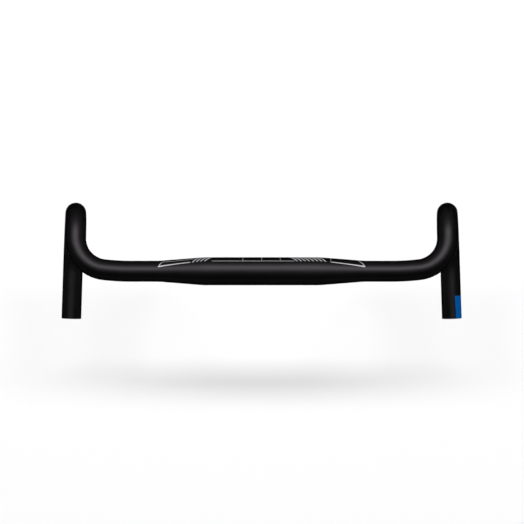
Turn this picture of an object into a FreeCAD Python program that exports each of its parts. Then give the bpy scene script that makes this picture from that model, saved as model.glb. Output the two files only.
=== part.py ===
# Drop handlebar: one butted aluminium tube with printed lines and an end label. Sizes are in millimetres.
# The origin is the middle of the clamp zone, +X to the rider's right, +Y forward and +Z up.
import FreeCAD, Part
import math
import os
import re
import Sketcher
from FreeCAD import Placement, Rotation, Vector

# Driving dimensions: alias, value and meaning. Angles are in degrees.
DIMENSIONS = [
    ("clamp_diameter", 31.8, "outside of the tube in the clamp zone"),
    ("grip_diameter", 23.8, "outside of the tube everywhere else"),
    ("clamp_half", 66, "middle of the bar to where the taper starts"),
    ("taper_length", 50, "taper from the clamp diameter to the grip diameter"),
    ("blend_radius", 100, "rounding where the taper meets its neighbours"),
    ("clamp_wall", 2.2, "wall of the tube in the clamp zone"),
    ("grip_wall", 1.7, "wall of the tube everywhere else"),
    ("ramp_spacing", 424, "middle to middle of the two ramps"),
    ("ramp_angle", 11.5, "fall of the ramps while the drops are level"),
    ("ramp_straight", 1, "straight tube between the corner and the hook"),
    ("lead_radius", 265, "gentle bend of the tops ahead of the corner"),
    ("lead_angle", 6.7, "turn made by that gentle bend"),
    ("corner_radius", 37.5, "bend from the tops into the ramps"),
    ("hook_lean", 9, "outward lean of the hooks"),
    ("hook_front_radius", 35.5, "front bend of the hooks"),
    ("hook_front_angle", 74.5, "turn made by the front bend"),
    ("hook_lower_radius", 71.5, "bend of the hooks into the drops"),
    ("drop_straight", 55.2, "straight, level end of the drops"),
    ("end_chamfer", 0.4, "broken edges of the cut ends"),
    ("ink_thickness", 0.06, "height of the print above the tube"),
    ("line_height", 11, "top of the printed lines above the middle of the tube"),
    ("line_width", 0.7, "printed line"),
    ("fine_line_width", 0.3, "finer printed line"),
    ("middle_line_left", 56, "left end of the middle line"),
    ("middle_line_right", 37, "right end of the middle line"),
    ("mark_length", 10, "centring marks, below the middle line"),
    ("mark_spacing", 21.2, "middle mark to the marks beside it"),
    ("frame_reach", 117, "tips of the two printed frames"),
    ("print_slant", 45, "angle of the frames' ends and of the hatching"),
    ("left_frame_inner", 81, "inner end of the left frame"),
    ("left_frame_height", 4.6, "height of the left frame"),
    ("right_frame_inner", 78, "inner end of the right frame"),
    ("right_frame_height", 11.5, "height of the right frame"),
    ("hatch_width", 1.3, "bar of the printed hatching"),
    ("hatch_pitch", 4.6, "bar to bar of the hatching"),
    ("hatch_height", 9, "height of the hatching"),
    ("hatch_gap", 2.5, "hatching to the print beside it"),
    ("label_thickness", 0.06, "film of the end label"),
    ("label_length", 27.6, "label along the drop"),
    ("label_edge_rear", 3.8, "label's edge from the middle of the tube, near the cut"),
    ("label_edge_front", 2.9, "the same at the label's front end"),
]
ALIASES = {alias for alias, _, _ in DIMENSIONS}
SHEET = "Dimensions"
LEFT_HATCH_BARS = 4
RIGHT_HATCH_BARS = 8

# Formulas that more than one feature reads
CLAMP_RADIUS = "clamp_diameter / 2"
GRIP_RADIUS = "grip_diameter / 2"
CLAMP_BORE = "clamp_diameter / 2 - clamp_wall"
GRIP_BORE = "grip_diameter / 2 - grip_wall"
TAPER_END = "(clamp_half + taper_length)"
TAPER_ANGLE = "atan((clamp_diameter - grip_diameter) / 2 / taper_length)"
CENTRE_END = f"({TAPER_END} + 2 * blend_radius * tan({TAPER_ANGLE} / 2))"
INK_END = f"(max({CENTRE_END}; frame_reach) + line_width)"
SLOPE = "(ramp_angle * 1 deg)"
LEAD = "(lead_angle * 1 deg)"
FORWARD = f"(lead_radius * (1 - cos({LEAD})) + corner_radius * cos({LEAD}) + ramp_straight)"
LEVEL_TURN = f"(180 - atan(tan({SLOPE}) / cos(hook_lean * 1 deg)) / 1 deg)"
FINE_LINE_FOOT = "line_height - fine_line_width"
SLANTED_STROKE = "line_width / sin(print_slant * 1 deg)"

doc = FreeCAD.newDocument("drop_handlebar")


def make_sheet():
    """Writes the driving dimensions, one to a row, as plain numbers with aliases."""
    made = doc.addObject("Spreadsheet::Sheet", SHEET)
    for row, (alias, value, meaning) in enumerate(DIMENSIONS, start=1):
        made.set(f"A{row}", alias)
        made.set(f"B{row}", str(value))
        made.set(f"C{row}", meaning)
        made.setAlias(f"B{row}", alias)
    doc.recompute()
    return made


sheet = make_sheet()


def size(formula):
    """The number that a formula of aliases comes to."""
    return float(sheet.evalExpression(formula))


def bound(formula):
    """The formula as another object writes it, with each alias read from the sheet."""
    return re.sub(r"[a-z_]+", lambda m: f"{SHEET}.{m[0]}" if m[0] in ALIASES else m[0], formula)


def millimetres(formula):
    """The formula as the length of another object's property."""
    return f"({bound(formula)}) * 1 mm"


def hold(sketch, kind, *where):
    """Adds a constraint whose last item is a formula in mm or degrees, and binds it to the sheet."""
    *places, formula = where
    angle = kind == "Angle"
    value = math.radians(size(formula)) if angle else size(formula)
    number = sketch.addConstraint(Sketcher.Constraint(kind, *places, value))
    held = f"({bound(formula)}) * 1 deg" if angle else millimetres(formula)
    sketch.setExpression(f"Constraints[{number}]", held)


def join(sketch, kind, first, second, out_of=2, into=1):
    """Ties the end of one edge to the start of the next, as Coincident or Tangent.

    A bend that runs clockwise is stored from its far end, so it is entered at 2 and left at 1.
    """
    sketch.addConstraint(Sketcher.Constraint(kind, first, out_of, second, into))


def on_circle(centre, radius, angle):
    """A point on a circle, with the angle counted clockwise from straight up."""
    return centre + Vector(math.sin(angle), math.cos(angle), 0) * radius


def polygon(sketch, corners):
    """Straight edges through corners, each held by a formula for x and one for y."""
    points = [Vector(size(x), size(y), 0) for x, y in corners]
    first = sketch.GeometryCount
    sketch.addGeometry([Part.LineSegment(a, b) for a, b in zip(points, points[1:] + points[:1])])
    for step, (x, y) in enumerate(corners):
        join(sketch, "Coincident", first + step, first + (step + 1) % len(corners))
        hold(sketch, "DistanceX", -1, 1, first + step, 1, x)
        hold(sketch, "DistanceY", -1, 1, first + step, 1, y)


def origin_plane(body, role):
    """One of a body's own origin planes."""
    return next(item for item in body.Origin.OriginFeatures if item.Role == role)


def body_sketch(body, name, role, moved=None):
    """A sketch on one of the body's origin planes, moved by formulas for x, y, z, yaw and roll."""
    sketch = body.newObject("Sketcher::SketchObject", name)
    sketch.AttachmentSupport = (origin_plane(body, role), [""])
    sketch.MapMode = "FlatFace"
    if moved:
        x, y, z, yaw, roll = (bound(formula) for formula in moved)
        turned = f"rotation({yaw}; 0; {roll})"
        sketch.setExpression("AttachmentOffset", f"placement(vector({x}; {y}; {z}); {turned})")
    doc.recompute()
    return sketch


def draw_shoulder(sketch, wide, narrow, end):
    """Draws half of a turned edge, from the middle of the bar: level, then tapering between two blends."""
    fall = math.atan((size(wide) - size(narrow)) / size("taper_length"))
    reach = size("blend_radius") * math.tan(fall / 2)
    dip = size("blend_radius") * (1 / math.cos(fall / 2) - 1)
    top = Vector(size("clamp_half"), size(wide), 0)
    foot = Vector(size(TAPER_END), size(narrow), 0)
    level = Vector(reach, 0, 0)
    slope = (foot - top).normalize() * reach
    inward = Vector(-math.sin(fall / 2), -math.cos(fall / 2), 0) * dip
    first = sketch.GeometryCount
    sketch.addGeometry(
        [
            Part.LineSegment(Vector(0, top.y, 0), top - level),
            Part.Arc(top - level, top + inward, top + slope),
            Part.LineSegment(top + slope, foot - slope),
            Part.Arc(foot - slope, foot - inward, foot + level),
            Part.LineSegment(foot + level, Vector(size(end), foot.y, 0)),
        ]
    )
    return first, top, foot


def shoulder(sketch, wide, narrow, end):
    """Half of a turned edge, held by formulas for its two radii and its end. Returns its outer edges."""
    first, top, foot = draw_shoulder(sketch, wide, narrow, end)
    last = first + 4
    join(sketch, "Tangent", first, first + 1, into=2)
    join(sketch, "Tangent", first + 1, first + 2, out_of=1)
    join(sketch, "Tangent", first + 2, first + 3)
    join(sketch, "Tangent", first + 3, last)
    hold(sketch, "Radius", first + 1, "blend_radius")
    hold(sketch, "Radius", first + 3, "blend_radius")
    for place, x, y in ((top, "clamp_half", wide), (foot, TAPER_END, narrow)):
        corner = sketch.addGeometry(Part.Point(place), True)
        hold(sketch, "DistanceX", -1, 1, corner, 1, x)
        hold(sketch, "DistanceY", -1, 1, corner, 1, y)
        sketch.addConstraint(Sketcher.Constraint("PointOnObject", corner, 1, first + 2))
    sketch.addConstraint(Sketcher.Constraint("PointOnObject", first, 1, -2))
    sketch.addConstraint(Sketcher.Constraint("Horizontal", first))
    sketch.addConstraint(Sketcher.Constraint("Horizontal", last))
    hold(sketch, "DistanceY", -1, 1, first, 1, wide)
    hold(sketch, "DistanceY", -1, 1, last, 2, narrow)
    hold(sketch, "DistanceX", -1, 1, last, 2, end)
    return first, last


def turned_half(body, outside, inside, end):
    """Revolves the right half of the bar's centre between two pairs of radii, wide and narrow."""
    sketch = body_sketch(body, f"{body.Name}_section", "XY_Plane")
    outer_first, outer_last = shoulder(sketch, *outside, end)
    inner_first, inner_last = shoulder(sketch, *inside, end)
    for outer, inner, point in ((outer_first, inner_first, 1), (outer_last, inner_last, 2)):
        ends = (sketch.getPoint(outer, point), sketch.getPoint(inner, point))
        edge = sketch.addGeometry(Part.LineSegment(*ends))
        join(sketch, "Coincident", outer, edge, out_of=point)
        join(sketch, "Coincident", edge, inner, into=point)
    half = body.newObject("PartDesign::Revolution", f"{body.Name}_half")
    half.Profile = (sketch, [""])
    half.ReferenceAxis = (sketch, ["H_Axis"])
    half.Angle = 360
    doc.recompute()
    return half


def mirrored(body, features):
    """Repeats features on the left of the bar."""
    mirror = body.newObject("PartDesign::Mirrored", f"{body.Name}_mirrored")
    mirror.Originals = features
    mirror.MirrorPlane = (origin_plane(body, "YZ_Plane"), [""])
    body.Tip = mirror
    doc.recompute()
    return mirror


def tube_ring(body, name, role, moved):
    """The tube's section, on a plane square to its path."""
    ring = body_sketch(body, name, role, moved)
    for radius in (GRIP_RADIUS, GRIP_BORE):
        edge = ring.addGeometry(Part.Circle(Vector(), Vector(0, 0, 1), size(radius)))
        ring.addConstraint(Sketcher.Constraint("Coincident", edge, 3, -1, 1))
        hold(ring, "Radius", edge, radius)
    return ring


def tube_along(body, name, ring, path):
    """Sweeps a ring along every edge of a path."""
    doc.recompute()
    pipe = body.newObject("PartDesign::AdditivePipe", name)
    pipe.Profile = (ring, [""])
    pipe.Spine = (path, [f"Edge{number}" for number in range(1, len(path.Shape.Edges) + 1)])
    doc.recompute()
    return pipe


def corner_path(body):
    """The tops beyond the centre, the gentle bend, the corner and the ramp, in the ramps' own plane."""
    path = body_sketch(body, "corner_path", "XY_Plane", ("0", "0", "0", "0", "-ramp_angle"))
    turn, square = math.radians(180 - size("lead_angle")), math.pi / 2
    gentle, corner = size("lead_radius"), size("corner_radius")
    ramp_foot = Vector(size("ramp_spacing / 2"), size(f"{FORWARD} - ramp_straight"), 0)
    ramp_tip = Vector(ramp_foot.x, size(FORWARD), 0)
    corner_centre = ramp_foot - Vector(corner, 0, 0)
    meeting = on_circle(corner_centre, corner, turn)
    gentle_centre = on_circle(corner_centre, corner - gentle, turn)
    start = Vector(gentle_centre.x, 0, 0)
    gentle_middle = on_circle(gentle_centre, gentle, (math.pi + turn) / 2)
    corner_middle = on_circle(corner_centre, corner, (turn + square) / 2)
    path.addGeometry(
        [
            Part.LineSegment(Vector(size(CENTRE_END), 0, 0), start),
            Part.Arc(start, gentle_middle, meeting),
            Part.Arc(meeting, corner_middle, ramp_foot),
            Part.LineSegment(ramp_foot, ramp_tip),
        ]
    )
    for edge in range(3):
        join(path, "Tangent", edge, edge + 1)
    path.addConstraint(Sketcher.Constraint("PointOnObject", 0, 1, -1))
    path.addConstraint(Sketcher.Constraint("PointOnObject", 0, 2, -1))
    path.addConstraint(Sketcher.Constraint("Vertical", 3))
    hold(path, "DistanceX", -1, 1, 0, 1, CENTRE_END)
    hold(path, "Radius", 1, "lead_radius")
    hold(path, "Angle", 1, "lead_angle")
    hold(path, "Radius", 2, "corner_radius")
    hold(path, "DistanceX", -1, 1, 3, 2, "ramp_spacing / 2")
    hold(path, "DistanceY", 3, 1, 3, 2, "ramp_straight")
    return path


def hook_path(body):
    """The two bends of the hook and the straight drop, in the hook's plane: x on down the ramp, y up."""
    ahead, below = f"{FORWARD} * cos({SLOPE})", f"-{FORWARD} * sin({SLOPE})"
    moved = (ahead, below, "ramp_spacing / 2", "-ramp_angle", "-hook_lean")
    path = body_sketch(body, "hook_path", "YZ_Plane", moved)
    front, lower = size("hook_front_radius"), size("hook_lower_radius")
    turn, level = math.radians(size("hook_front_angle")), math.radians(size(LEVEL_TURN))
    front_centre = Vector(0, -front, 0)
    meeting = on_circle(front_centre, front, turn)
    lower_centre = on_circle(front_centre, front - lower, turn)
    front_middle = on_circle(front_centre, front, turn / 2)
    lower_middle = on_circle(lower_centre, lower, (turn + level) / 2)
    drop_start = on_circle(lower_centre, lower, level)
    drop_end = drop_start + Vector(math.cos(level), -math.sin(level), 0) * size("drop_straight")
    path.addGeometry(
        [
            Part.Arc(Vector(), front_middle, meeting),
            Part.Arc(meeting, lower_middle, drop_start),
            Part.LineSegment(drop_start, drop_end),
        ]
    )
    path.addConstraint(Sketcher.Constraint("Coincident", 0, 2, -1, 1))
    path.addConstraint(Sketcher.Constraint("PointOnObject", 0, 3, -2))
    join(path, "Tangent", 0, 1, out_of=1, into=2)
    join(path, "Tangent", 1, 2, out_of=1)
    hold(path, "Radius", 0, "hook_front_radius")
    hold(path, "Angle", 0, "hook_front_angle")
    hold(path, "Radius", 1, "hook_lower_radius")
    hold(path, "Angle", 1, f"{LEVEL_TURN} - hook_front_angle")
    hold(path, "Distance", 2, "drop_straight")
    return path


def break_end_edges(body, whole, end_y):
    """Chamfers both cut ends, whose edges are the circles centred that far behind the bar."""
    ends = []
    for number, edge in enumerate(whole.Shape.Edges, start=1):
        if isinstance(edge.Curve, Part.Circle) and abs(edge.Curve.Center.y - end_y) < 0.001:
            ends.append(f"Edge{number}")
    chamfer = body.newObject("PartDesign::Chamfer", "broken_edges")
    chamfer.Base = (whole, ends)
    chamfer.setExpression("Size", millimetres("end_chamfer"))
    doc.recompute()
    if chamfer.Shape.Volume >= whole.Shape.Volume:
        raise RuntimeError("the chamfer cut nothing off the ends")


def make_tube():
    """The bar itself: a turned centre and a bent side, mirrored. Returns its body and its hook's path."""
    body = doc.addObject("PartDesign::Body", "handlebar_tube")
    doc.recompute()
    outside, inside = (CLAMP_RADIUS, GRIP_RADIUS), (CLAMP_BORE, GRIP_BORE)
    centre = turned_half(body, outside, inside, CENTRE_END)
    corner = corner_path(body)
    top_ring = tube_ring(body, "top_ring", "YZ_Plane", ("0", "0", CENTRE_END, "0", "0"))
    corner_tube = tube_along(body, "corner_tube", top_ring, corner)
    hook = hook_path(body)
    below, behind = f"-{FORWARD} * sin({SLOPE})", f"-{FORWARD} * cos({SLOPE})"
    ramp_end = ("ramp_spacing / 2", below, behind, "0", "-ramp_angle")
    ramp_ring = tube_ring(body, "ramp_ring", "XZ_Plane", ramp_end)
    hook_tube = tube_along(body, "hook_tube", ramp_ring, hook)
    whole = mirrored(body, [centre, corner_tube, hook_tube])
    break_end_edges(body, whole, hook.Shape.Vertexes[-1].Point.y)
    return body, hook


def make_ink():
    """The skin that all the print is cut from, as thick as the ink, round the centre of the tube."""
    body = doc.addObject("PartDesign::Body", "ink_skin")
    doc.recompute()
    outside = (f"{CLAMP_RADIUS} + ink_thickness", f"{GRIP_RADIUS} + ink_thickness")
    mirrored(body, [turned_half(body, outside, (CLAMP_RADIUS, GRIP_RADIUS), INK_END)])
    return body


def stamped(name, skin, drawing, direction, depth, both_ways=False):
    """The part of a skin that lies in a drawing carried along a direction."""
    block = doc.addObject("Part::Extrusion", f"{name}_block")
    block.Base = drawing
    block.DirMode = "Custom"
    block.Dir = direction
    block.Symmetric = both_ways
    block.Solid = True
    block.setExpression("LengthFwd", millimetres(depth))
    film = doc.addObject("Part::Common", name)
    film.Base = block
    film.Tool = skin
    return film


def printed(name, skin, polygons):
    """Print on the front of the bar, drawn as polygons with x to the right and y up."""
    drawing = doc.addObject("Sketcher::SketchObject", f"{name}_drawing")
    drawing.Placement = Placement(Vector(), Rotation(Vector(1, 0, 0), 90))
    for corners in polygons:
        polygon(drawing, corners)
    return stamped(name, skin, drawing, Vector(0, 1, 0), "clamp_diameter")


def middle_line(skin):
    """The fine line along the clamp zone."""
    left, right = "-middle_line_left", "middle_line_right"
    top, foot = "line_height", FINE_LINE_FOOT
    return printed("middle_line_print", skin, [[(left, top), (right, top), (right, foot), (left, foot)]])


def centring_marks(skin):
    """Three upright marks under the middle line."""
    marks = []
    top, foot = FINE_LINE_FOOT, f"{FINE_LINE_FOOT} - mark_length"
    for step in (-1, 0, 1):
        left = f"{step} * mark_spacing - fine_line_width / 2"
        right = f"{step} * mark_spacing + fine_line_width / 2"
        marks.append([(left, top), (right, top), (right, foot), (left, foot)])
    return printed("centring_marks_print", skin, marks)


def slanted(x, lean, fall):
    """The formula for x on a slanted edge that has fallen so far, leaning right (1) or left (-1)."""
    return f"{x} + {lean} * ({fall}) / tan(print_slant * 1 deg)"


def left_frame(skin):
    """A long frame with slanted ends, open at its inner end."""
    foot, over_foot = "left_frame_height", "left_frame_height - fine_line_width"
    tip, inner = "-frame_reach", "-left_frame_inner"
    inside_tip = f"{tip} + {SLANTED_STROKE}"
    ways = [(inner, "0"), (tip, "0"), (tip, foot), (inner, foot)]
    ways += [(inner, over_foot), (inside_tip, over_foot), (inside_tip, "line_width"), (inner, "line_width")]
    corners = [(slanted(x, 1, fall), f"line_height - ({fall})") for x, fall in ways]
    return printed("left_frame_print", skin, [corners])


def right_frame(skin):
    """A closed frame, upright at its inner end and slanted at its tip."""
    foot, over_foot = "right_frame_height", "right_frame_height - fine_line_width"
    shapes = [
        ("right_frame_inner", "frame_reach", "0", foot),
        ("right_frame_inner + fine_line_width", f"frame_reach - {SLANTED_STROKE}", "line_width", over_foot),
    ]
    polygons = []
    for inner, tip, top, bottom in shapes:
        ways = [(inner, top), (slanted(tip, -1, top), top)]
        ways += [(slanted(tip, -1, bottom), bottom), (inner, bottom)]
        polygons.append([(x, f"line_height - ({fall})") for x, fall in ways])
    return printed("right_frame_print", skin, polygons)


def hatching(name, skin, start, bars, lean):
    """Slanted bars from a start at the lines' height, leaning right (1) or left (-1) as they fall."""
    polygons = []
    for bar in range(bars):
        left = f"{start} + {bar} * hatch_pitch"
        right = f"{left} + hatch_width"
        ways = [(left, "0"), (right, "0"), (right, "hatch_height"), (left, "hatch_height")]
        polygons.append([(slanted(x, lean, fall), f"line_height - {fall}") for x, fall in ways])
    return printed(name, skin, polygons)


def end_label(drop):
    """The adhesive film round the outside of the right drop's end, given the drop's middle line."""
    rear, front = drop.Vertexes[-1].Point, drop.Vertexes[0].Point
    ahead, down = (front - rear).normalize(), Vector(0, 0, -1)
    seat = Placement(rear + ahead * size("end_chamfer"), Rotation(down.cross(ahead), down, ahead, "ZYX"))
    rounds = []
    radii = {"label_outside": f"{GRIP_RADIUS} + label_thickness", "label_inside": GRIP_RADIUS}
    for name, radius in radii.items():
        cylinder = doc.addObject("Part::Cylinder", name)
        cylinder.Placement = seat
        cylinder.setExpression("Radius", millimetres(radius))
        cylinder.setExpression("Height", millimetres("label_length"))
        rounds.append(cylinder)
    skin = doc.addObject("Part::Cut", "label_skin")
    skin.Base, skin.Tool = rounds
    drawing = doc.addObject("Sketcher::SketchObject", "end_label_drawing")
    drawing.Placement = seat.multiply(Placement(Vector(), Rotation(Vector(1, 0, 0), 90)))
    side = f"{GRIP_RADIUS} + 2 * label_thickness"
    corners = [("label_edge_rear", "0"), (side, "0")]
    corners += [(side, "label_length"), ("label_edge_front", "label_length")]
    polygon(drawing, corners)
    return stamped("end_label", skin, drawing, Vector(0, 0, 1), "2 * grip_diameter", both_ways=True)


def check(nodes):
    """Stops at any object that failed, and at any piece that is empty, open or invalid."""
    for item in doc.Objects:
        if {"Invalid", "Error"} & set(item.State):
            raise RuntimeError(f"{item.Name} failed: {item.getStatusString()}")
    for node, solids in nodes:
        shape = node.Shape
        if shape.isNull() or not shape.isValid() or len(shape.Solids) != solids:
            raise RuntimeError(f"{node.Name} should be {solids} valid solids")


def write(nodes):
    """Writes each piece to a file of its own name, and prints what it holds."""
    os.makedirs("parts", exist_ok=True)
    for node, _ in nodes:
        node.Label = node.Name
        node.Shape.exportStep(f"parts/{node.Label}.step")
        print(f"{node.Label}: {len(node.Shape.Solids)} solids, {node.Shape.Volume:.3f} mm3")


tube, hook = make_tube()
ink = make_ink()
left_start = "hatch_gap - left_frame_inner"
right_start = "middle_line_right + hatch_gap"
nodes = [
    (tube, 1),
    (middle_line(ink), 1),
    (centring_marks(ink), 3),
    (left_frame(ink), 1),
    (right_frame(ink), 1),
    (hatching("left_hatch_print", ink, left_start, LEFT_HATCH_BARS, 1), LEFT_HATCH_BARS),
    (hatching("right_hatch_print", ink, right_start, RIGHT_HATCH_BARS, -1), RIGHT_HATCH_BARS),
    (end_label(hook.Shape.Edges[-1]), 1),
]
doc.recompute()
check(nodes)
write(nodes)
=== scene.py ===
"""Drop handlebar: the looks of the bar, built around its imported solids, with the studio it is shown in.

Lengths are in metres, X to the rider's right, Y forward and Z up.
"""

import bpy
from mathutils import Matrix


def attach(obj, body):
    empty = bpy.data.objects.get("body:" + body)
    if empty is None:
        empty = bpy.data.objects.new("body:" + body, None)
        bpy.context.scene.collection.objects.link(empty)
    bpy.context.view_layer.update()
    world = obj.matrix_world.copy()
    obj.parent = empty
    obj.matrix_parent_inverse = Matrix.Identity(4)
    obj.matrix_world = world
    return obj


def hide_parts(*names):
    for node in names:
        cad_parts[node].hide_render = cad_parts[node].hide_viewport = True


bl_info = {
    "name": "Drop handlebar",
    "version": (1, 0, 0),
    "blender": (4, 5, 0),
    "location": "3D View > Sidebar > Handlebar",
    "description": "Makes a drop handlebar with its print, its end label and a plain studio",
    "category": "Add Mesh",
}
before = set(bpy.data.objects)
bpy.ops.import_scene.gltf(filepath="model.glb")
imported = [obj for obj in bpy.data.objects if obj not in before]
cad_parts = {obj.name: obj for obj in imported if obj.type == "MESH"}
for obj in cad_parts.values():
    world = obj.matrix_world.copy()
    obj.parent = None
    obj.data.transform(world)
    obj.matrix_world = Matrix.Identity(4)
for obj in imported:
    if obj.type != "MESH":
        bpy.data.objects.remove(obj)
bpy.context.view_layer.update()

import math

import bpy
import numpy as np
from bpy.props import FloatProperty, FloatVectorProperty, PointerProperty

MM = 0.001
BODY = "root"
WHITE = (1, 1, 1, 1)
SEEING_RAYS = ("Is Camera Ray", "Is Glossy Ray", "Is Transmission Ray")

# How finely the surfaces are divided
TUBE_COLUMNS = 96
TOPS_STEPS = 84
LEAD_STEPS = 8
CORNER_STEPS = 48
FRONT_STEPS = 44
LOWER_STEPS = 56
DROP_STEPS = 12
LABEL_ROWS = 61
LABEL_COLUMNS = 49
SHARP_ANGLE = math.radians(35)

# Cells of the noise patterns per metre. Three numbers are along the axes, or along and around the bore.
GRAIN = 2600
CLOUDS = 34
DRAWN_LINES = (6, 2400, 0)
DULL_PATCHES = 90
SCRATCHES = (5000, 300, 5000)
RUBBED_PLACES = 420
INK_CLOUDS = 900
FILM_CLOUDS = 120
ORANGE_PEEL = 700

PRINT_NODES = (
    "middle_line_print",
    "centring_marks_print",
    "left_frame_print",
    "right_frame_print",
    "left_hatch_print",
    "right_hatch_print",
)


def length(name, millimetres, meaning):
    """A length property, given in millimetres and kept in metres."""
    default = millimetres * MM
    return FloatProperty(name=name, description=meaning, default=default, min=0, unit="LENGTH", precision=5)


def angle(name, degrees, meaning):
    """An angle property, given in degrees."""
    return FloatProperty(name=name, description=meaning, default=math.radians(degrees), subtype="ANGLE")


def colour(name, value, meaning):
    """A linear colour property."""
    limits = {"size": 3, "min": 0, "max": 1}
    return FloatVectorProperty(name=name, description=meaning, default=value, subtype="COLOR", **limits)


def share(name, value, meaning):
    """A property from 0 to 1."""
    return FloatProperty(name=name, description=meaning, default=value, min=0, max=1, subtype="FACTOR")


def amount(name, value, meaning):
    """Any other number from 0 up."""
    return FloatProperty(name=name, description=meaning, default=value, min=0)


class TubeSizes(bpy.types.PropertyGroup):
    """What the bar's tube is drawn from."""

    clamp_diameter: length("Clamp diameter", 31.8, "Outside of the tube in the clamp zone")
    grip_diameter: length("Grip diameter", 23.8, "Outside of the tube everywhere else")
    clamp_half: length("Clamp zone", 66, "Middle of the bar to where the taper starts")
    taper_length: length("Taper", 50, "Taper from the clamp diameter to the grip diameter")
    blend_radius: length("Blend", 100, "Rounding where the taper meets its neighbours")
    clamp_wall: length("Clamp wall", 2.2, "Wall of the tube in the clamp zone")
    grip_wall: length("Grip wall", 1.7, "Wall of the tube everywhere else")
    ramp_spacing: length("Width", 424, "Middle to middle of the two ramps")
    ramp_slope: angle("Ramp slope", 11.5, "Fall of the ramps while the drops are level")
    ramp_straight: length("Ramp", 1, "Straight tube between the corner and the hook")
    lead_radius: length("Lead bend", 265, "Gentle bend of the tops ahead of the corner")
    lead_angle: angle("Lead turn", 6.7, "Turn made by that gentle bend")
    corner_radius: length("Corner", 37.5, "Bend from the tops into the ramps")
    hook_lean: angle("Hook lean", 9, "Outward lean of the hooks")
    front_radius: length("Front bend", 35.5, "Front bend of the hooks")
    front_turn: angle("Front turn", 74.5, "Turn made by the front bend")
    lower_radius: length("Lower bend", 71.5, "Bend of the hooks into the drops")
    drop_straight: length("Drop end", 55.2, "Straight, level end of the drops")
    end_chamfer: length("Broken edge", 0.4, "Broken edges of the cut ends")


class LabelSizes(bpy.types.PropertyGroup):
    """The adhesive film on the outside of the right drop's end."""

    along: length("Length", 27.6, "Label along the drop")
    edge_rear: length("Rear edge", 3.8, "Label's edge from the middle of the tube, near the cut")
    edge_front: length("Front edge", 2.9, "The same at the label's front end")
    corner: length("Corner", 1.2, "Rounding of the label's corners")
    film: length("Film", 0.06, "Outside of the film above the tube")
    glue: length("Glue", 0.002, "Underside of the film above the tube")


class Finishes(bpy.types.PropertyGroup):
    """Colours and sheens of the bar."""

    tube_colour: colour("Tube", (0.0092, 0.0085, 0.0092), "Blasted black anodising, as it mirrors light")
    tube_rim: share("Tube rim", 0.12, "How much the blasted surface mirrors at a grazing angle")
    tube_roughness: share("Tube roughness", 0.47, "Roughness of the blasted surface")
    bore_colour: colour("Bore", (0.1, 0.098, 0.096), "Drawn inside of the tube under its anodising")
    bore_roughness: share("Bore roughness", 0.42, "Roughness of the drawn inside")
    rubbed_colour: colour("Rubbed metal", (0.4, 0.4, 0.4), "Cut ends where the anodising is rubbed through")
    cut_roughness: share("Cut roughness", 0.36, "Roughness of the cut ends")
    ink_colour: colour("Ink", (0.185, 0.185, 0.19), "Light grey printing ink")
    ink_roughness: share("Ink roughness", 0.5, "Roughness of the ink")
    label_colour: colour("Label", (0.0008, 0.041, 0.158), "Blue label film")
    label_roughness: share("Label roughness", 0.42, "Roughness of the film")


class Studio(bpy.types.PropertyGroup):
    """Camera, floor, walls and lights."""

    lens: amount("Lens", 94.6, "Focal length in mm on a sensor of the width below")
    sensor: amount("Sensor", 36, "Width of the sensor in mm")
    camera_height: length("Camera height", 1562.3, "Camera above the axis of the tops")
    camera_forward: length("Camera forward", 10.5, "Camera ahead of the axis of the tops")
    camera_right: length("Camera right", 0.5, "Camera right of the middle of the bar")
    camera_far: length("Camera far end", 200000, "How far the camera sees")
    floor_depth: length("Floor depth", 243, "Floor below the axis of the tops")
    floor_half: length("Floor half", 60000, "Middle of the floor to its edges")
    floor_colour: colour("Floor", (0.8, 0.8, 0.8), "Plain pale floor")
    floor_white: share("Floor white", 0.5, "Share of plain white in the floor, which thins the shadow")
    floor_tilt: angle("Floor light tilt", 31.3, "Floor's lights from overhead, towards the front")
    floor_power: amount("Floor light", 1.8, "Irradiance of the floor's plain light")
    floor_strip_power: amount("Floor strip", 187, "Power of the floor's strip light in watts")
    key_tilt: angle("Key tilt", 30, "Bar's lights from overhead, towards the front")
    key_turn: angle("Key turn", 5, "Key light from overhead, towards the right")
    key_aside: angle("Key aside", 11, "Halves of the key light, to the left and right of its middle")
    key_spread: angle("Key spread", 38, "How wide each half of the key light looks from the bar")
    key_power: amount("Key", 2.25, "Irradiance of each half of the key light")
    strip_power: amount("Strip", 240, "Power of the bar's strip light in watts")
    strip_length: length("Strip length", 5000, "Both strips, from left to right")
    strip_width: length("Strip width", 400, "Both strips, across")
    light_distance: length("Light distance", 4200, "Lights from the middle of the bar")
    wall_light: amount("Walls", 0.85, "Brightness of the pale walls")
    ceiling_light: amount("Ceiling", 0.03, "Brightness of the dark ceiling")
    wall_top: share("Wall top", 0.2, "Sine of the height above the horizon up to which the walls are pale")
    ceiling_edge: share("Ceiling edge", 0.36, "The same for where the ceiling is dark")


# Shader building

class Wire:
    """A shader socket that can be used in sums. Each operation adds its Math node."""

    def __init__(self, paint, socket):
        self.paint = paint
        self.socket = socket

    def maths(self, operation, *terms):
        return self.paint.node("ShaderNodeMath", {"operation": operation}, dict(enumerate(terms)))

    def __add__(self, other):
        return self.maths("ADD", self, other)

    def __radd__(self, other):
        return self.maths("ADD", other, self)

    def __sub__(self, other):
        return self.maths("SUBTRACT", self, other)

    def __rsub__(self, other):
        return self.maths("SUBTRACT", other, self)

    def __mul__(self, other):
        return self.maths("MULTIPLY", self, other)

    def __rmul__(self, other):
        return self.maths("MULTIPLY", other, self)


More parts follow.
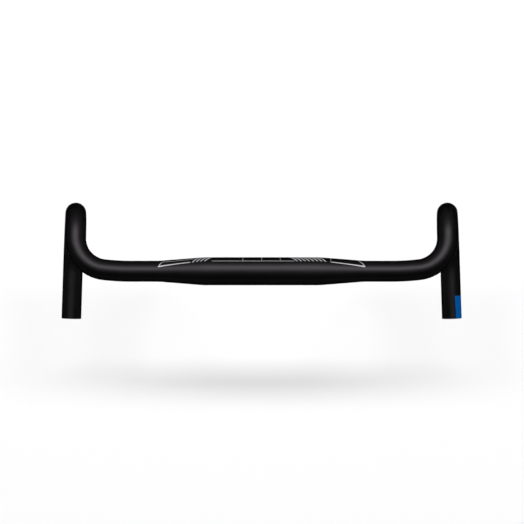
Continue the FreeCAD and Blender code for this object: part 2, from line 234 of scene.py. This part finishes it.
class Paint:
    """A material or world whose nodes are added one at a time."""

    def __init__(self, owner):
        owner.use_nodes = True
        self.tree = owner.node_tree
        self.tree.nodes.clear()

    def node(self, kind, settings=None, inputs=None, output=0):
        """Adds a node: its settings first, then the values or links of its sockets."""
        made = self.tree.nodes.new(kind)
        for name, value in (settings or {}).items():
            setattr(made, name, value)
        for name, value in (inputs or {}).items():
            if isinstance(value, Wire):
                self.tree.links.new(value.socket, made.inputs[name])
            else:
                made.inputs[name].default_value = value
        return Wire(self, made.outputs[output]) if made.outputs else None

    def place(self, output="Object"):
        """Where on the object a point is."""
        return self.node("ShaderNodeTexCoord", output=output)

    def noise(self, vector, scale, detail):
        """Cloudy noise from 0 to 1."""
        return self.node("ShaderNodeTexNoise", inputs={"Vector": vector, "Scale": scale, "Detail": detail})

    def stretched(self, vector, factors):
        """A vector with each axis multiplied."""
        return self.node("ShaderNodeVectorMath", {"operation": "MULTIPLY"}, {0: vector, 1: factors})

    def ramp(self, factor, low, high):
        """0 below low, 1 above high, and smooth between."""
        settings = {"interpolation_type": "SMOOTHSTEP"}
        inputs = {"Value": factor, "From Min": low, "From Max": high}
        return self.node("ShaderNodeMapRange", settings, inputs)

    def mixed(self, factor, first, second):
        """A colour between two colours."""
        return self.node("ShaderNodeMix", {"data_type": "RGBA"}, {0: factor, 6: first, 7: second}, output=2)

    def shaded(self, factor, tone, spread):
        """A colour darker by a share of itself where a factor is 0, and lighter by it where it is 1."""
        return self.mixed(factor, opaque(tone, 1 - spread), opaque(tone, 1 + spread))

    def bump(self, height, depth, strength):
        """A normal pushed about by a height from 0 to 1, which stands for a depth in metres."""
        inputs = {"Height": height, "Distance": depth, "Strength": strength}
        return self.node("ShaderNodeBump", inputs=inputs)

    def finish(self, **sockets):
        """Closes a material with its surface shader."""
        inputs = {name.replace("_", " "): value for name, value in sockets.items()}
        surface = self.node("ShaderNodeBsdfPrincipled", inputs=inputs)
        self.node("ShaderNodeOutputMaterial", inputs={"Surface": surface})


def opaque(tone, brightness=1.0):
    """A colour with its alpha, made brighter or darker."""
    return tuple(channel * brightness for channel in tone) + (1.0,)


def swing(pattern, width):
    """A pattern from 0 to 1 as a swing about 0, of this width in all."""
    return (pattern - 0.5) * width


def anodised_black(look):
    """Blasted, black anodised aluminium: a fine grain, with faint clouds in its sheen."""
    material = bpy.data.materials.new("anodised_black")
    paint = Paint(material)
    place = paint.place()
    grain = paint.noise(place, GRAIN, detail=3)
    clouds = paint.noise(place, CLOUDS, detail=3)
    sheen = look.tube_roughness + swing(clouds, width=0.07) + swing(grain, width=0.1)
    tone = paint.shaded(paint.ramp(clouds, low=0.35, high=0.65), look.tube_colour, spread=0.06)
    paint.finish(
        Base_Color=tone,
        Metallic=1.0,
        Specular_Tint=opaque([look.tube_rim] * 3),
        Roughness=sheen,
        Normal=paint.bump(grain, depth=12e-6, strength=0.35),
    )
    return material


def drawn_bore(look):
    """The inside of the drawn tube: fine lines along it, and a duller film in patches."""
    material = bpy.data.materials.new("drawn_bore")
    paint = Paint(material)
    along = paint.place("UV")
    lines = paint.noise(paint.stretched(along, DRAWN_LINES), 1, detail=3)
    patches = paint.noise(paint.place(), DULL_PATCHES, detail=4)
    sheen = look.bore_roughness + swing(patches, width=0.3)
    tone = paint.shaded(lines, look.bore_colour, spread=0.3)
    normal = paint.bump(lines, depth=15e-6, strength=0.5)
    paint.finish(Base_Color=tone, Metallic=1.0, Roughness=sheen, Normal=normal)
    return material


def cut_edge(look):
    """The cut and turned end of the tube: anodised too, with scratches, and bright where it is rubbed."""
    material = bpy.data.materials.new("cut_edge")
    paint = Paint(material)
    place = paint.place()
    scratches = paint.noise(paint.stretched(place, SCRATCHES), 1, detail=2)
    rubbed = paint.ramp(paint.noise(place, RUBBED_PLACES, detail=3), low=0.56, high=0.72)
    half_rubbed = rubbed * 0.5
    tone = paint.mixed(half_rubbed, opaque(look.bore_colour, brightness=0.8), opaque(look.rubbed_colour))
    sheen = look.cut_roughness + swing(scratches, width=0.2)
    normal = paint.bump(scratches, depth=10e-6, strength=0.4)
    paint.finish(Base_Color=tone, Metallic=1.0, Roughness=sheen, Normal=normal)
    return material


def printing_ink(look):
    """Light grey ink on the blasted surface: the grain shows through, and some places are a little thin."""
    material = bpy.data.materials.new("printing_ink")
    paint = Paint(material)
    place = paint.place()
    grain = paint.noise(place, GRAIN, detail=3)
    full = paint.ramp(paint.noise(place, INK_CLOUDS, detail=2), low=0.25, high=0.5)
    tone = paint.mixed(full, opaque(look.ink_colour, brightness=0.8), opaque(look.ink_colour))
    sheen = look.ink_roughness + swing(grain, width=0.15)
    normal = paint.bump(grain, depth=12e-6, strength=0.3)
    paint.finish(Base_Color=tone, Roughness=sheen, Normal=normal)
    return material


def label_film(look):
    """Dull blue film with a faint orange peel and faint clouds."""
    material = bpy.data.materials.new("label_film")
    paint = Paint(material)
    place = paint.place()
    clouds = paint.noise(place, FILM_CLOUDS, detail=2)
    orange_peel = paint.noise(place, ORANGE_PEEL, detail=2)
    tone = paint.shaded(clouds, look.label_colour, spread=0.08)
    sheen = look.label_roughness + swing(clouds, width=0.06)
    normal = paint.bump(orange_peel, depth=8e-6, strength=0.3)
    paint.finish(Base_Color=tone, Specular_IOR_Level=0.0, Roughness=sheen, Normal=normal)
    return material


# The bar's middle line and its surface

def taper(x, wide, narrow, sizes):
    """The radius at x: level at wide, a straight taper, level at narrow, with a circular blend at each end.

    A blend of radius b and fall f touches both lines at b tan(f / 2) from their meeting.
    """
    blend = sizes.blend_radius
    fall = math.atan((wide - narrow) / sizes.taper_length)
    reach = blend * math.tan(fall / 2)
    first, last = sizes.clamp_half - reach, sizes.clamp_half + sizes.taper_length + reach
    arc = blend * math.sin(fall)
    into = np.clip(x - first, 0, arc)
    out_of = np.clip(last - x, 0, arc)
    slope = wide - (x - sizes.clamp_half) * math.tan(fall)
    upper = wide - blend + np.sqrt(blend**2 - into**2)
    lower = narrow + blend - np.sqrt(blend**2 - out_of**2)
    return np.where(x < first + arc, upper, np.where(x > last - arc, lower, slope))


class Line:
    """The bar's middle line from the middle to one end, added a straight or a bend at a time.

    A straight adds s times the direction. A bend of radius r by angle a adds r sin a along the direction
    and r (1 - cos a) towards its centre. The ring's first axis keeps its angle to the bend's plane, so the
    surface never twists.
    """

    def __init__(self, point, direction, axis):
        self.point, self.direction, self.axis = (np.array(v, float) for v in (point, direction, axis))
        self.points, self.directions, self.axes, self.lengths = [], [], [], []
        self.travelled = 0.0

    def keep(self, points, directions, axes, lengths):
        self.points.append(points)
        self.directions.append(directions)
        self.axes.append(axes)
        self.lengths.append(self.travelled + lengths)
        self.point, self.direction, self.axis = points[-1], directions[-1], axes[-1]
        self.travelled += lengths[-1]

    def straight(self, stations):
        """Straight on, with stations as distances from here."""
        stations = np.asarray(stations, float)
        ones = np.ones((len(stations), 1))
        points = self.point + stations[:, None] * self.direction
        self.keep(points, ones * self.direction, ones * self.axis, stations)

    def bend(self, towards, radius, turn, steps):
        """Round a bend whose centre lies towards a direction, made square to the line."""
        turns = np.linspace(0, turn, steps + 1)[1:, None]
        towards = towards - (towards @ self.direction) * self.direction
        towards /= np.linalg.norm(towards)
        square = np.cross(self.direction, towards)
        inward = np.cos(turns) * towards - np.sin(turns) * self.direction
        points = self.point + radius * (np.sin(turns) * self.direction + (1 - np.cos(turns)) * towards)
        directions = np.cos(turns) * self.direction + np.sin(turns) * towards
        axes = (self.axis @ towards) * inward + (self.axis @ square) * square
        self.keep(points, directions, axes, radius * turns[:, 0])

    def stations(self):
        """Points, directions, ring axes and distances as whole arrays."""
        kept = (self.points, self.directions, self.axes, self.lengths)
        return tuple(np.concatenate(pieces) for pieces in kept)


def half_line(sizes):
    """The middle line from the middle of the bar to the right end.

    The tops and the corner bend lie in the ramps' plane, which falls forward by the ramp slope. The hook
    lies in the plane through the ramp that leans out, and turns until the drop is level.
    """
    slope, lean, lead = sizes.ramp_slope, sizes.hook_lean, sizes.lead_angle
    across = np.array((1.0, 0.0, 0.0))
    ahead = np.array((0.0, math.cos(slope), -math.sin(slope)))
    above = np.cross(across, ahead)
    down = math.sin(lean) * across - math.cos(lean) * above
    bend_start = sizes.ramp_spacing / 2 - sizes.lead_radius * math.sin(lead)
    bend_start -= sizes.corner_radius * (1 - math.sin(lead))
    level_turn = math.pi - math.atan(math.tan(slope) / math.cos(lean))
    line = Line((0, 0, 0), across, (0, 0, 1))
    line.straight(np.linspace(0, bend_start, TOPS_STEPS))
    line.bend(ahead, sizes.lead_radius, lead, LEAD_STEPS)
    line.bend(ahead, sizes.corner_radius, math.pi / 2 - lead, CORNER_STEPS)
    line.straight([sizes.ramp_straight])
    line.bend(down, sizes.front_radius, sizes.front_turn, FRONT_STEPS)
    line.bend(down, sizes.lower_radius, level_turn - sizes.front_turn, LOWER_STEPS)
    straight = sizes.drop_straight
    line.straight(np.append(np.linspace(0, straight - sizes.end_chamfer, DROP_STEPS)[1:], straight))
    return line.stations()


def rings(points, directions, axes, radii, columns):
    """Circles square to a line: point + radius (cos t first axis + sin t second axis), t round the ring."""
    t = np.linspace(0, math.tau, columns, endpoint=False)[None, :, None]
    first, second = axes[:, None], np.cross(directions, axes)[:, None]
    return points[:, None] + radii[:, None, None] * (np.cos(t) * first + np.sin(t) * second)


def both_sides(right, mirror=1.0):
    """Rows from the middle to the right end, continued to the left: points as their mirror image."""
    return np.concatenate((right[:0:-1] * mirror, right))


def closed_loops(rows, columns):
    """Four-cornered faces of a grid that closes on itself both ways."""
    number = np.arange(rows * columns).reshape(rows, columns)
    after, beside = np.roll(number, -1, 0), np.roll(number, -1, 1)
    diagonal = np.roll(after, -1, 1)
    return np.stack((number, beside, diagonal, after), -1).reshape(-1, 4)


def new_mesh(name, points, faces, materials, body=BODY):
    """A mesh object at the origin from arrays of points and faces."""
    mesh = bpy.data.meshes.new(name)
    mesh.from_pydata(points.reshape(-1, 3).tolist(), [], faces.tolist())
    for material in materials:
        mesh.materials.append(material)
    mesh.polygons.foreach_set("use_smooth", np.ones(len(faces), bool))
    mesh.set_sharp_from_angle(angle=SHARP_ANGLE)
    piece = bpy.data.objects.new(name, mesh)
    bpy.context.scene.collection.objects.link(piece)
    if body:
        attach(piece, body)
    return piece


def paint_surface_map(mesh, along, around, columns):
    """A UV map in metres: distance along the bar, and distance round the tube."""
    rows = len(along)
    corner = np.empty(len(mesh.loops), np.int64)
    mesh.loops.foreach_get("vertex_index", corner)
    face = np.arange(len(corner)) // 4
    row, column = corner // columns, corner % columns
    wraps = (column == 0) & (face % columns == columns - 1)
    closes = (row == 0) & (face // columns == rows - 1)
    u = np.where(closes, along[-1], along[row])
    v = (column + wraps * columns) / columns * math.tau * around[row]
    layer = mesh.uv_layers.new(name="along_and_around")
    layer.uv.foreach_set("vector", np.column_stack((u, v)).ravel())


class HANDLEBAR_OT_tube(bpy.types.Operator):
    """Makes the bar: its outside, cut ends and bore, as one surface that closes on itself"""

    bl_idname = "handlebar.tube"
    bl_label = "Tube"

    def execute(self, context):
        sizes, look = context.scene.handlebar_tube, context.scene.handlebar_finishes
        points, directions, axes, lengths = half_line(sizes)
        mirror = np.array((-1.0, 1.0, 1.0))
        grids, sides = [], []
        outside = (sizes.clamp_diameter / 2, sizes.grip_diameter / 2)
        bore = (outside[0] - sizes.clamp_wall, outside[1] - sizes.grip_wall)
        for (wide, narrow), broken in ((outside, -sizes.end_chamfer), (bore, sizes.end_chamfer)):
            radii = taper(points[:, 0], wide, narrow, sizes)
            radii[-1] += broken
            grids.append(both_sides(rings(points, directions, axes, radii, TUBE_COLUMNS), mirror))
            sides.append(both_sides(radii))
        outer, inner = grids
        count = len(outer)
        materials = (anodised_black(look), drawn_bore(look), cut_edge(look))
        faces = closed_loops(2 * count, TUBE_COLUMNS)
        tube = new_mesh("bent_tube", np.concatenate((outer, inner[::-1])), faces, materials)
        self.paint_rows(tube.data, count)
        along = both_sides(lengths)
        along = np.concatenate((along, along[::-1]))
        around = np.concatenate((sides[0], sides[1][::-1]))
        paint_surface_map(tube.data, along, around, TUBE_COLUMNS)
        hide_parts("handlebar_tube")
        return {"FINISHED"}

    def paint_rows(self, mesh, count):
        """The outside, the bore, and the last rows of both with the two end faces between them."""
        row = np.arange(2 * count)
        outside, bore, cut = range(3)
        finish = np.where(row < count - 1, outside, bore)
        finish[[0, count - 2, count - 1, count, 2 * count - 2, 2 * count - 1]] = cut
        mesh.polygons.foreach_set("material_index", np.repeat(finish, TUBE_COLUMNS))


class HANDLEBAR_OT_print(bpy.types.Operator):
    """Gives the printed lines, marks and hatching their ink"""

    bl_idname = "handlebar.print"
    bl_label = "Print"

    def execute(self, context):
        ink = printing_ink(context.scene.handlebar_finishes)
        for name in PRINT_NODES:
            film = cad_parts[name]
            film.data.materials.clear()
            film.data.materials.append(ink)
        return {"FINISHED"}


class HANDLEBAR_OT_label(bpy.types.Operator):
    """Makes the blue film round the outside of the right drop's end.

    At a distance along the drop it reaches to the angle whose cosine is the edge's distance from the tube's
    middle line over the radius, less the rounding of its corners.
    """

    bl_idname = "handlebar.label"
    bl_label = "End label"

    def execute(self, context):
        sizes, label = context.scene.handlebar_tube, context.scene.handlebar_label
        points, directions, _, _ = half_line(sizes)
        rear, back = points[-1], directions[-1]
        up = np.array((0.0, 0.0, 1.0))
        outward = np.cross(up, back)
        radius = sizes.grip_diameter / 2
        along = (1 - np.cos(np.linspace(0, math.pi, LABEL_ROWS))) / 2 * label.along
        edge = label.edge_rear + (label.edge_front - label.edge_rear) * along / label.along
        from_end = np.clip(np.minimum(along, label.along - along), 0, label.corner)
        rounding = label.corner - np.sqrt(label.corner**2 - (label.corner - from_end) ** 2)
        reach = np.arccos(edge / radius) - rounding / radius
        turn = reach[:, None] * np.linspace(-1, 1, LABEL_COLUMNS)[None, :]
        place = rear - (along + sizes.end_chamfer)[:, None] * back
        radial = np.cos(turn)[..., None] * outward + np.sin(turn)[..., None] * up
        top = place[:, None] + (radius + label.film) * radial
        under = place[:, None] + (radius + label.glue) * radial
        sheet = np.concatenate((top, under[:, ::-1]), axis=1)
        faces = self.flat_tube(*sheet.shape[:2])
        film = new_mesh("blue_label", sheet, faces, [label_film(context.scene.handlebar_finishes)])
        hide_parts("end_label")
        return {"FINISHED"}

    def flat_tube(self, rows, columns):
        """Faces of a sheet whose rows run over its top and back under it, with both ends closed."""
        number = np.arange(rows * columns).reshape(rows, columns)
        beside = np.roll(number, -1, 1)
        walls = np.stack((number[:-1], number[1:], beside[1:], beside[:-1]), -1).reshape(-1, 4)
        half = columns // 2
        caps = []
        for row, order in ((0, 1), (rows - 1, -1)):
            upper, lower = number[row, :half], number[row, :half - 1:-1]
            cap = np.stack((upper[:-1], upper[1:], lower[1:], lower[:-1]), -1)
            caps.append(cap[:, ::order])
        return np.concatenate((walls, *caps))


class HANDLEBAR_OT_stage(bpy.types.Operator):
    """Makes the plain floor, the lights and the camera"""

    bl_idname = "handlebar.stage"
    bl_label = "Studio"

    def execute(self, context):
        scene, studio = context.scene, context.scene.handlebar_studio
        scene.view_settings.view_transform = "Standard"
        self.hang_lights(scene, studio, self.lay_floor(studio))
        self.light_walls(scene, studio)
        self.set_camera(scene, studio)
        return {"FINISHED"}

    def lay_floor(self, studio):
        """One square that ends beyond any view."""
        material = bpy.data.materials.new("pale_floor")
        paint = Paint(material)
        lit = paint.node("ShaderNodeBsdfDiffuse", inputs={"Color": opaque(studio.floor_colour)})
        white = paint.node("ShaderNodeEmission", inputs={"Color": WHITE, "Strength": 1.0})
        rays = [paint.node("ShaderNodeLightPath", output=ray) for ray in SEEING_RAYS]
        seen = sum(rays[1:], rays[0]) * studio.floor_white
        surface = paint.node("ShaderNodeMixShader", inputs={0: seen, 1: lit, 2: white})
        paint.node("ShaderNodeOutputMaterial", inputs={"Surface": surface})
        corners = np.array(((-1, -1, 0), (1, -1, 0), (1, 1, 0), (-1, 1, 0))) * studio.floor_half
        corners[:, 2] = -studio.floor_depth
        floor = new_mesh("floor", corners, np.array(((0, 1, 2, 3),)), [material], body=None)
        return floor

    def hang_lights(self, scene, studio, floor):
        """Two sets of lights from the same side: one for the bar, and one for the floor.

        The bar has a broad soft key from far away with a strip in its middle. The floor has a plain light
        without shadows and a strip like the first, which draws the one soft band of shadow.
        """
        bar_only = self.linked("all_but_the_floor", floor, "EXCLUDE")
        floor_only = self.linked("floor_only", floor, "INCLUDE")
        key = bpy.data.lights.new("soft_key", "SUN")
        key.energy, key.angle = studio.key_power, studio.key_spread
        plain = bpy.data.lights.new("floor_light", "SUN")
        plain.energy = studio.floor_power
        strip = self.strip("strip", studio.strip_power, studio)
        floor_strip = self.strip("floor_strip", studio.floor_strip_power, studio)
        for lamp, tilt, aside, receivers, blockers in (
            (key, studio.key_tilt, studio.key_turn - studio.key_aside, bar_only, None),
            (key, studio.key_tilt, studio.key_turn + studio.key_aside, bar_only, None),
            (strip, studio.key_tilt, 0, bar_only, None),
            (floor_strip, studio.floor_tilt, 0, floor_only, None),
            (plain, studio.floor_tilt, 0, floor_only, floor_only),
        ):
            hung = bpy.data.objects.new(lamp.name, lamp)
            hung.rotation_euler = (-tilt, aside, 0)
            hung.location = np.array((0, math.sin(tilt), math.cos(tilt))) * studio.light_distance
            hung.light_linking.receiver_collection = receivers
            hung.light_linking.blocker_collection = blockers
            scene.collection.objects.link(hung)

    def strip(self, name, power, studio):
        """A long, narrow light from left to right."""
        strip = bpy.data.lights.new(name, "AREA")
        strip.shape, strip.energy = "RECTANGLE", power
        strip.size, strip.size_y = studio.strip_length, studio.strip_width
        return strip

    def linked(self, name, piece, state):
        """A group that holds one piece, for lights that reach it alone or everything else."""
        group = bpy.data.collections.new(name)
        group.objects.link(piece)
        group.collection_objects[0].light_linking.link_state = state
        return group

    def light_walls(self, scene, studio):
        """Pale walls round the horizon under a dark ceiling."""
        world = bpy.data.worlds.new("studio_walls")
        scene.world = world
        paint = Paint(world)
        height = paint.node("ShaderNodeSeparateXYZ", inputs={0: paint.place("Generated")}, output=2)
        dark = paint.ramp(height, studio.wall_top, studio.ceiling_edge)
        strength = studio.wall_light - dark * (studio.wall_light - studio.ceiling_light)
        light = paint.node("ShaderNodeBackground", inputs={"Color": WHITE, "Strength": strength})
        paint.node("ShaderNodeOutputWorld", inputs={"Surface": light})

    def set_camera(self, scene, studio):
        """Straight above the bar, with the front of the bar at the top of the picture."""
        lens = bpy.data.cameras.new("camera")
        lens.lens, lens.sensor_width = studio.lens, studio.sensor
        lens.clip_end = studio.camera_far
        camera = bpy.data.objects.new("camera", lens)
        camera.location = (studio.camera_right, studio.camera_forward, studio.camera_height)
        scene.collection.objects.link(camera)
        scene.camera = camera


OPERATORS = (HANDLEBAR_OT_tube, HANDLEBAR_OT_print, HANDLEBAR_OT_label, HANDLEBAR_OT_stage)
GROUPS = {
    "handlebar_tube": TubeSizes,
    "handlebar_label": LabelSizes,
    "handlebar_finishes": Finishes,
    "handlebar_studio": Studio,
}


class HANDLEBAR_PT_sidebar(bpy.types.Panel):
    """Lists the pieces of the bar with their sizes and colours"""

    bl_label = "Drop handlebar"
    bl_space_type = "VIEW_3D"
    bl_region_type = "UI"
    bl_category = "Handlebar"

    def draw(self, context):
        for operator in OPERATORS:
            self.layout.operator(operator.bl_idname)
        for name, group in GROUPS.items():
            box = self.layout.box()
            for prop in group.__annotations__:
                box.prop(getattr(context.scene, name), prop)


def register():
    for item in (*GROUPS.values(), *OPERATORS, HANDLEBAR_PT_sidebar):
        bpy.utils.register_class(item)
    for name, group in GROUPS.items():
        setattr(bpy.types.Scene, name, PointerProperty(type=group))


def unregister():
    for name in GROUPS:
        delattr(bpy.types.Scene, name)
    for item in reversed((*GROUPS.values(), *OPERATORS, HANDLEBAR_PT_sidebar)):
        bpy.utils.unregister_class(item)


def main():
    """Makes everything in order."""
    register()
    bpy.ops.handlebar.stage()
    bpy.ops.handlebar.tube()
    bpy.ops.handlebar.print()
    bpy.ops.handlebar.label()


if __name__ == "__main__":
    main()
